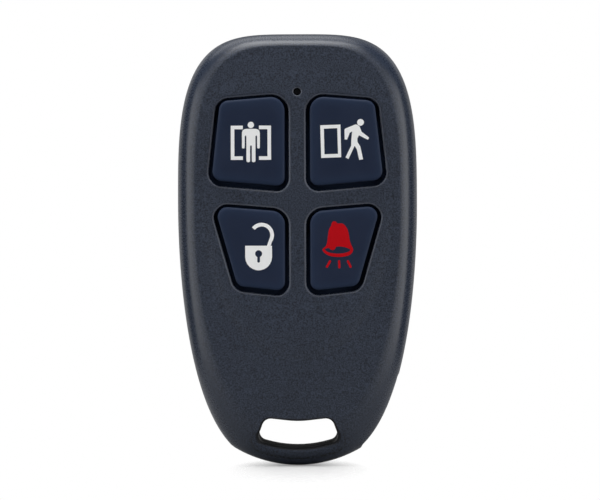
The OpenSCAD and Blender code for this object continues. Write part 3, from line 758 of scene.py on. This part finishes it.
bell = [(5.9, 36.1), (6.54, 36.09), (6.96, 35.82), (7.29, 35.34), (7.51, 34.65), (7.65, 33.79),
        (7.85, 33.05), (8.11, 32.5), (8.17, 32.14), (7.93, 31.66), (7.27, 31.3), (6.05, 31.15),
        (4.83, 31.3), (4.04, 31.7), (3.66, 32.2), (3.82, 32.46), (4.17, 32.8), (4.35, 33.36),
        (4.48, 34.28), (4.58, 34.95), (4.72, 35.39), (4.94, 35.75), (5.04, 36.17), (5.27, 36.41),
        (5.61, 36.38)]
mouth = [(4.01, 32.3), (4.27, 32.43), (4.59, 32.48), (4.77, 32.33), (5.03, 32.18), (5.27, 32.18),
         (5.48, 32.31), (5.59, 32.5), (5.7, 32.66), (6.17, 32.71), (6.91, 32.61), (7.47, 32.41),
         (7.76, 32.2), (7.53, 31.94), (6.78, 31.71), (5.81, 31.65), (4.82, 31.76), (4.25, 32.01)]
BEAM = 0.33
panic_sign = [curve(bell), curve(mouth), bar((4.77, 30.53), (4.32, 29.74), BEAM),
              bar((6.1, 30.53), (6.14, 29.63), BEAM), bar((7.4, 30.53), (7.8, 29.7), BEAM)]
SIGNS = {"stay": stay_sign, "away": away_sign, "disarm": disarm_sign, "panic": panic_sign}
print("signs:", {k: len(v) for k, v in SIGNS.items()})

# %% [markdown]
# ## Printing the signs
# Ink has almost no thickness. It could be an image on the key, but that would blur from close by. So
# each sign is a filled outline that is cut into squares, laid on the key's crown and given a few
# hundredths of a millimetre of body. Half of that is sunk into the key, so no gap shows at the edge.

# %% Print the signs
INK, SIGN_SQUARE, SIGN_START = 0.012, 0.6, 0.4
for name, outlines in SIGNS.items():
    sign = begin(name + "_sign")
    for outline in outlines:
        if isinstance(outline, tuple):
            add_loop(lift(outline[0], FLAT_Z))
            pull(lift(outline[1], FLAT_Z))
        else:
            add_loop(lift(outline, FLAT_Z))
    fill(FLAT_Z, bare=True)
    bpy.ops.mesh.select_all(action="SELECT")
    every = np.vstack([o[0] if isinstance(o, tuple) else o for o in outlines])
    low, high = every.min(axis=0), every.max(axis=0)
    squares(*(np.arange(a + SIGN_START, b, SIGN_SQUARE) for a, b in zip(low, high)))
    settle(lambda p, name=name: crown_height(name, p) + INK)
    bpy.ops.mesh.select_all(action="SELECT")
    bpy.ops.mesh.extrude_region()
    mesh = edit_mesh()
    for v in mesh.verts:
        if v.select:
            v.co.y += 2 * INK
    refresh()
    finish_piece(sign, name + "_button")

# %% [markdown]
# ## Shader maths
# A finish is a small network of nodes. Wrapping an output socket in a class with the usual operators
# lets the network be written as arithmetic, such as 0.4 + 0.1 * grain, and one method adds every
# other node from its type, its settings and its inputs.

# %% Maths on sockets
def feed(tree, socket, value):
    """Links a wire to an input, or sets its value."""
    if isinstance(value, Wire):
        tree.links.new(value.out, socket)
    elif socket.type == "RGBA" and len(value) == 3:
        socket.default_value = (*value, 1)
    else:
        socket.default_value = value


class Wire:
    """One output socket; operators on it add Math nodes."""

    def __init__(self, tree, out):
        self.tree, self.out = tree, out

    def math(self, kind, *values, clamp=False):
        node = self.tree.nodes.new("ShaderNodeMath")
        node.operation, node.use_clamp = kind, clamp
        for socket, value in zip(node.inputs, values):
            feed(self.tree, socket, value)
        return Wire(self.tree, node.outputs[0])

    def __add__(self, other):
        return self.math("ADD", self, other)

    def __sub__(self, other):
        return self.math("SUBTRACT", self, other)

    def __rsub__(self, other):
        return self.math("SUBTRACT", other, self)

    def __mul__(self, other):
        return self.math("MULTIPLY", self, other)

    __radd__, __rmul__ = __add__, __mul__

    def between(self, low, high):
        """0 below low, 1 above high."""
        return self.math("MULTIPLY", self - low, 1 / (high - low), clamp=True)


print("shader maths: +, -, *, between")

# %% [markdown]
# ## Materials
# On the real fob a finish comes from a mould, a press or a bath. Here each is one material whose
# colour, roughness and bump follow noise of a chosen size. Pictures could be wrapped on the pieces
# instead, but noise has no seams and stays sharp at any distance.

# %% Materials from nodes
class Finish:
    """A material and the nodes that make it."""

    def __init__(self, name):
        self.material = bpy.data.materials.new(name)
        self.material.use_nodes = True
        self.tree = self.material.node_tree
        self.tree.nodes.clear()
        self.place = self.add("TexCoord", pick="Object")

    def add(self, kind, settings=None, inputs=None, pick=0):
        node = self.tree.nodes.new("ShaderNode" + kind)
        for key, value in (settings or {}).items():
            setattr(node, key, value)
        for key, value in (inputs or {}).items():
            feed(self.tree, node.inputs[key], value)
        return Wire(self.tree, node.outputs[pick])

    def noise(self, size_mm, detail=2.0, rough=0.5, place=None):
        """Cloudy values from 0 to 1 with features of one size."""
        return self.add("TexNoise", None, {"Vector": place or self.place, "Scale": 1 / (size_mm * MM),
                                           "Detail": detail, "Roughness": rough})

    def stretched(self, scale):
        return self.add("Mapping", None, {"Vector": self.place, "Scale": scale})

    def mix(self, factor, a, b):
        return self.add("Mix", {"data_type": "RGBA"}, {0: factor, 6: a, 7: b}, pick=2)

    def bump(self, height, strength, distance_mm, under=None):
        inputs = {"Height": height, "Strength": strength, "Distance": distance_mm * MM}
        if under:
            inputs["Normal"] = under
        return self.add("Bump", None, inputs)

    def mark(self, name):
        """A number stored on the corners of the piece."""
        return self.add("Attribute", {"attribute_name": name}, pick="Fac")

    def length(self, vector):
        return self.add("VectorMath", {"operation": "LENGTH"}, {0: vector}, pick="Value")

    def done(self, shader):
        out = self.tree.nodes.new("ShaderNodeOutputMaterial")
        self.tree.links.new(shader.out, out.inputs["Surface"])
        return self.material

    def principled(self, **inputs):
        named = {k.replace("_", " "): v for k, v in inputs.items()}
        return self.done(self.add("BsdfPrincipled", None, named))


def dress(material, *pieces):
    """Gives pieces a material in place of any that they have."""
    for name in pieces:
        piece = bpy.data.objects[name]
        piece.data.materials.clear()
        piece.data.materials.append(material)
    print(material.name, "on", len(pieces), "pieces")


print("materials: noise, mix, bump, principled")

# %% [markdown]
# ## Moulded plastic
# The face of the case has a spark-eroded texture: the mould was roughened by sparks, so the plastic
# shows fine pits and bumps a few tenths of a millimetre across. The rolled rim was left smoother, so
# a number stored on each corner of the mesh fades the texture out across it. Two more numbers mark
# the window edges, where a highlight is painted into the colour as a lighter line, and the wall of
# the slot, where shade is painted in as a dark colour and the finish is made duller.

# %% Marks on the shells
TEXTURE_END, TEXTURE_FADE, INNER_FACE = 1.16, 0.17, 0.97
SLOT_NEAR, BAR_END, BAR_WIDTH = 8, 9.5, 3


def store(piece, name, values):
    """Keeps one number for each corner, for the shader to read."""
    layer = piece.data.attributes.new(name, "FLOAT", "POINT")
    layer.data.foreach_set("value", values.astype(np.float32))


def mark_shell(piece, least):
    """Stores the texture, the painted shade of the slot's wall and the painted highlight of window
    edges.
    """
    co = np.array([v.co for v in piece.data.vertices]) / MM
    normal = np.array([v.normal for v in piece.data.vertices])
    flat, depth = co[:, [0, 2]], MID_DEPTH - co[:, 1]
    sideways, facing, rising = normal[:, 0], -normal[:, 1], normal[:, 2]
    out = share(flat, FACE_AXES, FACE_POWERS)
    face = smooth((TEXTURE_END - out) / TEXTURE_FADE) * smooth((depth - PART_Z - 2) / 2)
    to_slot = np.array(SLOT).mean(0) - flat
    reach = np.hypot(*to_slot.T)
    toward = (sideways * to_slot[:, 0] + rising * to_slot[:, 1]) / reach
    # painted shade: the slot's wall and the top of the bar's fillet, which look up into the slot, are
    # darkened
    store(piece, "lip", (reach < SLOT_NEAR) * smooth((toward - 0.05) / 0.35))
    on_bar = smooth((BAR_END - reach) / BAR_WIDTH) * smooth((facing - 0.2) / 0.3)
    texture = np.maximum(face * smooth((facing - 0.6) / 0.35), on_bar)
    store(piece, "grain", least + (1 - least) * texture)
    # painted highlight: a lighter line on window fillets, weaker where they face up
    rounding = smooth((0.95 - facing) / 0.2) * smooth((facing - 0.05) / 0.3)
    shaded = 1 - 0.8 * np.clip(1.4 * rising, 0, 1)
    store(piece, "edge", (out < INNER_FACE) * face * rounding * shaded)


for piece, least in ((front, 0.35), (rear, 0.85)):
    mark_shell(piece, least)
    print(piece.name, "marked: texture at least", least)

# %% Textured shell plastic
SHELL_DARK, SHELL_LIGHT = (0.0045, 0.0073, 0.0138), (0.0415, 0.0545, 0.087)
# colours of the painted highlight on window edges and of the painted shade in the slot
EDGE_PAINTED_HIGHLIGHT, SLOT_PAINTED_SHADE = (0.195, 0.215, 0.265), (0.0008, 0.0009, 0.0012)


def shell_plastic(name):
    f = Finish(name)
    pits = f.noise(0.2, 2, 0.6)
    fine = f.noise(0.14, 1, 0.5)
    cloud = f.noise(9, 2)
    mask, edge, lip = f.mark("grain"), f.mark("edge"), f.mark("lip")
    speck = pits.between(0.36, 0.64)
    colour = f.mix((speck * 0.85 + cloud * 0.15) * mask + (1 - mask) * 0.5, SHELL_DARK, SHELL_LIGHT)
    skin = f.bump(pits * mask, 0.65, 0.05, under=f.bump(fine * mask, 0.4, 0.02))
    rough = 0.12 + 0.34 * mask + 0.08 * (speck * mask) + 0.04 * cloud + 0.25 * lip
    # painted highlight on window edges and painted shade on the slot's wall, mixed into the colour
    colour = f.mix(lip * 0.9, f.mix(edge * 0.85, colour, EDGE_PAINTED_HIGHLIGHT), SLOT_PAINTED_SHADE)
    return f.principled(Base_Color=colour, Roughness=rough, Normal=skin, IOR=1.49)


dress(shell_plastic("textured shell plastic"), front.name)
dress(shell_plastic("textured back plastic"), rear.name)

# %% [markdown]
# ## Keys and ink
# The keys are moulded from a darker blue plastic with a satin skin, a little duller towards the edge,
# so a stored number again tells the shader how far out a corner lies. The ink is flat and bright,
# with the small unevenness that pad printing leaves.

# %% Key plastic and ink
def key_plastic():
    f = Finish("satin key plastic")
    cloud, fine = f.noise(3.5, 3), f.noise(0.22, 2)
    edge = f.mark("edge")
    grain = cloud * 0.7 + fine * 0.3
    middle = f.mix(grain, (0.0105, 0.0178, 0.0415), (0.0155, 0.0252, 0.0555))
    # painted sheen: the colour turns bluer and a little lighter towards the key's edge
    sheen_border = f.mix(grain, (0.0085, 0.0185, 0.047), (0.0125, 0.026, 0.0635))
    rough = 0.4 + 0.12 * cloud + 0.05 * fine + 0.15 * edge
    return f.principled(Base_Color=f.mix(edge, middle, sheen_border), Roughness=rough,
                        Normal=f.bump(fine, 0.16, 0.012), IOR=1.46, Specular_IOR_Level=0.3)


def ink(name, deep, pale, rough):
    f = Finish(name)
    cloud, fine = f.noise(0.9, 3), f.noise(0.13, 2)
    colour = f.mix(cloud * 0.6 + fine * 0.4, deep, pale)
    return f.principled(Base_Color=colour, Roughness=rough + 0.1 * fine,
                        Normal=f.bump(fine, 0.2, 0.006), Specular_IOR_Level=0.12)


for name in KEYS:
    piece = bpy.data.objects[name + "_key_cap"]
    flat = np.array([(v.co.x, v.co.z) for v in piece.data.vertices]) / MM
    # marks where the painted sheen and the duller finish of the key's edge show
    store(piece, "edge", smooth((key_share(name, flat, 0) - 0.72) / 0.28))
dress(key_plastic(), *[n + "_key_cap" for n in KEYS])
dress(ink("white pad-print ink", (0.94, 0.955, 0.955), (0.985, 0.99, 0.99), 0.6),
      "stay_sign", "away_sign", "disarm_sign")
dress(ink("red pad-print ink", (0.43, 0.001, 0.005), (0.545, 0.001, 0.007), 0.6), "panic_sign")

# %% [markdown]
# ## Inside the case
# The board, the switches and the cell are hidden when the fob is shut, but they are real pieces and
# keep their CAD shapes. Each gets the finish of its kind: solder mask, stamped steel, brass, copper,
# epoxy, ceramic and acrylic. The light pipe is clear, but nothing is lit behind its tiny hole, so it
# looks almost black from outside and is made so here.

# %% Finishes of the inner pieces
def plain_plastic(name, dark, light, rough, size):
    f = Finish(name)
    cloud, fine = f.noise(size * 6, 2), f.noise(size, 3)
    colour = f.mix(cloud * 0.5 + fine * 0.5, dark, light)
    return f.principled(Base_Color=colour, Roughness=rough + 0.12 * fine,
                        Normal=f.bump(fine, 0.25, 0.02))


def drawn_metal(name, dark, light, rough, grain):
    f = Finish(name)
    streak = f.noise(0.6, 3, 0.6, f.stretched(grain))
    spots = f.noise(2.5, 2)
    colour = f.mix(streak * 0.6 + spots * 0.4, dark, light)
    return f.principled(Base_Color=colour, Metallic=1.0, Normal=f.bump(streak, 0.12, 0.01),
                        Roughness=rough + 0.18 * streak + 0.06 * spots)


def clear_acrylic():
    f = Finish("clear acrylic")
    haze = f.noise(0.4, 2)
    # painted shade: the clear acrylic is coloured almost black for the unlit hollow behind the light
    # hole
    colour = f.mix(haze, (0.008, 0.008, 0.01), (0.016, 0.016, 0.019))
    return f.principled(Base_Color=colour, Roughness=0.2 + 0.1 * haze,
                        IOR=1.49, Coat_Weight=0.1 + 0.1 * haze)


print("inner finishes: plastic, metal and acrylic")

# %% Dress the inner pieces
UPRIGHT, ACROSS = (1.0, 1.0, 12.0), (12.0, 1.0, 1.0)
SWITCHES, PLUNGERS = ([name + part for name in KEYS] for part in ("_switch", "_plunger"))
PLASTICS = (
    ("green solder mask", (0.012, 0.085, 0.032), (0.03, 0.15, 0.06), 0.28, 0.5, ["circuit_board"]),
    ("black switch plastic", (0.01, 0.01, 0.011), (0.022, 0.022, 0.024), 0.5, 0.5, SWITCHES),
    ("cream plunger plastic", (0.52, 0.5, 0.44), (0.66, 0.64, 0.57), 0.4, 0.5, PLUNGERS),
    ("clear resin", (0.62, 0.58, 0.36), (0.78, 0.73, 0.48), 0.2, 0.2, ["status_led"]),
    ("chip epoxy", (0.007, 0.007, 0.008), (0.015, 0.015, 0.016), 0.55, 0.2, ["control_chip"]),
    ("fired ceramic", (0.34, 0.22, 0.11), (0.46, 0.31, 0.17), 0.5, 0.2, ["chip_capacitors"]),
    ("glazed resistor", (0.008, 0.008, 0.009), (0.017, 0.017, 0.018), 0.3, 0.2, ["chip_resistors"]))
METALS = (
    ("spring steel", (0.46, 0.455, 0.43), (0.62, 0.61, 0.58), 0.28, UPRIGHT,
     ["switch_covers", "cell_clip"]),
    ("nickel-plated cell", (0.52, 0.52, 0.53), (0.66, 0.66, 0.67), 0.24, ACROSS, ["coin_cell"]),
    ("brass contact", (0.5, 0.37, 0.13), (0.66, 0.51, 0.22), 0.26, UPRIGHT, ["cell_contact"]),
    ("tinned metal", (0.5, 0.5, 0.52), (0.64, 0.64, 0.66), 0.34, UPRIGHT, ["chip_leads", "crystal_can"]),
    ("etched copper", (0.36, 0.15, 0.06), (0.52, 0.24, 0.11), 0.34, UPRIGHT, ["loop_antenna"]))
dress(clear_acrylic(), "light_pipe")
for *look, pieces in PLASTICS:
    dress(plain_plastic(*look), *pieces)
for *look, pieces in METALS:
    dress(drawn_metal(*look), *pieces)

# %% [markdown]
# ## Camera
# The photo was taken from straight in front. A long lens about six lengths of the fob away keeps the
# perspective flat, and a roll of a fifth of a degree gives the slight lean that the photo shows.

# %% Camera
LENS_MM, SENSOR_MM, LEAN = 150, 36, math.radians(0.2)
scene = bpy.context.scene
camera = bpy.data.objects.new("camera", bpy.data.cameras.new("camera"))
scene.collection.objects.link(camera)
camera.location = (0.00035, -0.3747, 0.0322)
camera.rotation_euler = (math.pi / 2, LEAN, 0)
camera.data.lens, camera.data.sensor_width = LENS_MM, SENSOR_MM
camera.data.sensor_fit = "HORIZONTAL"
camera.data.clip_start = 0.01
scene.camera = camera
print("camera at", tuple(round(v, 4) for v in camera.location))

# %% [markdown]
# ## Lamps
# A product photo is lit by soft boxes, and area lamps do the same here. One above the camera and one
# above the back make the bright top rim and the shadow, one at each side draws the line along the
# rim, and three weak ones behind show the back when the view goes round.

# %% Lamps
FOB = (0, 0, 0.03)


def soft_box(name, place, aim, size, watts):
    """An area lamp at a place that looks at another."""
    data = bpy.data.lights.new(name, "AREA")
    data.shape, data.size, data.size_y, data.energy = "RECTANGLE", size[0], size[1], watts
    lamp = bpy.data.objects.new(name, data)
    lamp.location = place
    lamp.rotation_euler = (Vector(aim) - Vector(place)).to_track_quat("-Z", "Y").to_euler()
    scene.collection.objects.link(lamp)


LAMPS = {"top box": ((-0.03, -0.1, 0.43), (0, -0.04, 0.03), (0.26, 0.32), 1.82),
         "back box": ((-0.1, 0.2, 0.55), (0, 0.03, 0.03), (0.55, 0.5), 0.9),
         "rear box": ((0, 0.4, 0.4), FOB, (0.8, 0.4), 0.2),
         "left rear box": ((-0.24, 0.42, 0.08), FOB, (0.28, 0.4), 0.11),
         "right rear box": ((0.24, 0.42, 0.08), FOB, (0.28, 0.4), 0.09),
         "left box": ((-0.42, -0.17, 0.07), FOB, (0.5, 0.4), 1.35),
         "right box": ((0.42, -0.17, 0.07), FOB, (0.5, 0.4), 1.55)}
for name, lamp in LAMPS.items():
    soft_box(name, *lamp)
print("lamps:", list(LAMPS))

# %% [markdown]
# ## Table and room
# The fob stands on a white table in a white room. A curved sheet would hide the horizon, as in a
# studio; a flat table that fades into the room away from the shadow is simpler. It glows a little for
# the camera and for mirror-like rays alone, so it shows white without more light on the fob. Round
# the tip the glow is left out for mirror-like rays, which paints a shadow into the fob's reflection.

# %% White table
SHADOW_FADE, TABLE_FADE, TABLE_SIDE = (0.008, 0.021), (0.045, 0.09), 4


def ray(tree, *kinds):
    """1 for rays of these kinds, such as Camera or Glossy."""
    path = tree.nodes.new("ShaderNodeLightPath")
    return sum(Wire(tree, path.outputs[f"Is {kind} Ray"]) for kind in kinds)


def stage_white(name, paint, glow, bounce):
    """A white that is brighter for the camera and clear away from the shadow."""
    f = Finish(name)
    seen, shown = ray(f.tree, "Camera"), ray(f.tree, "Glossy", "Transmission")
    spot = f.add("Mapping", None, {"Vector": f.place, "Location": (0, 0.0085, 0), "Scale": (2, 1, 1)})
    far, wide = f.length(spot).between(*SHADOW_FADE), f.length(f.place).between(*TABLE_FADE)
    level = bounce + (paint - bounce) * seen + 0.02 * f.noise(30, 2)
    grey = f.add("CombineColor", None, {0: level, 1: level, 2: level})
    sheet = f.add("BsdfDiffuse", None, {"Color": grey})
    light = f.add("Emission", None, {"Color": (1, 1, 1), "Strength": glow})
    glowing = f.add("AddShader", None, {0: sheet, 1: light})
    # painted shadow: mirror-like rays get no glow round the tip, so the table's reflection is darker
    # there
    lit = f.add("MixShader", None, {0: seen + shown * far, 1: sheet, 2: glowing})
    clear = f.add("BsdfTransparent")
    return f.done(f.add("MixShader", None, {0: wide + (far - wide) * seen, 1: lit, 2: clear}))


bpy.ops.mesh.primitive_plane_add(size=TABLE_SIDE, location=(0, 0, 0))
table = bpy.context.object
table.name = "table"
table.data.materials.append(stage_white("white table", paint=0.6, glow=0.2, bounce=0.26))
print(table.name, "has", table.active_material.name)

# %% White room
ROOM_LIGHT, GLINT = 0.03, 0.12
world = bpy.data.worlds.new("white room")
scene.world = world
world.use_nodes = True
tree = world.node_tree
tree.nodes.clear()
back = tree.nodes.new("ShaderNodeBackground")
back.inputs["Color"].default_value = (1, 1, 1, 1)
course = tree.nodes.new("ShaderNodeSeparateXYZ")
tree.links.new(tree.nodes.new("ShaderNodeNewGeometry").outputs["Incoming"], course.inputs[0])
behind = (0.0 - Wire(tree, course.outputs["Y"])).between(0.68, 0.92)
aside = Wire(tree, course.outputs["X"])
aside = aside.math("ABSOLUTE", aside).between(0.05, 0.3)
seen, shown = ray(tree, "Camera", "Transmission"), ray(tree, "Glossy")
strength = ROOM_LIGHT + (1 - ROOM_LIGHT) * seen + GLINT * shown * behind * aside
tree.links.new(strength.out, back.inputs["Strength"])
out = tree.nodes.new("ShaderNodeOutputWorld")
tree.links.new(back.outputs[0], out.inputs["Surface"])
print("room:", world.name)
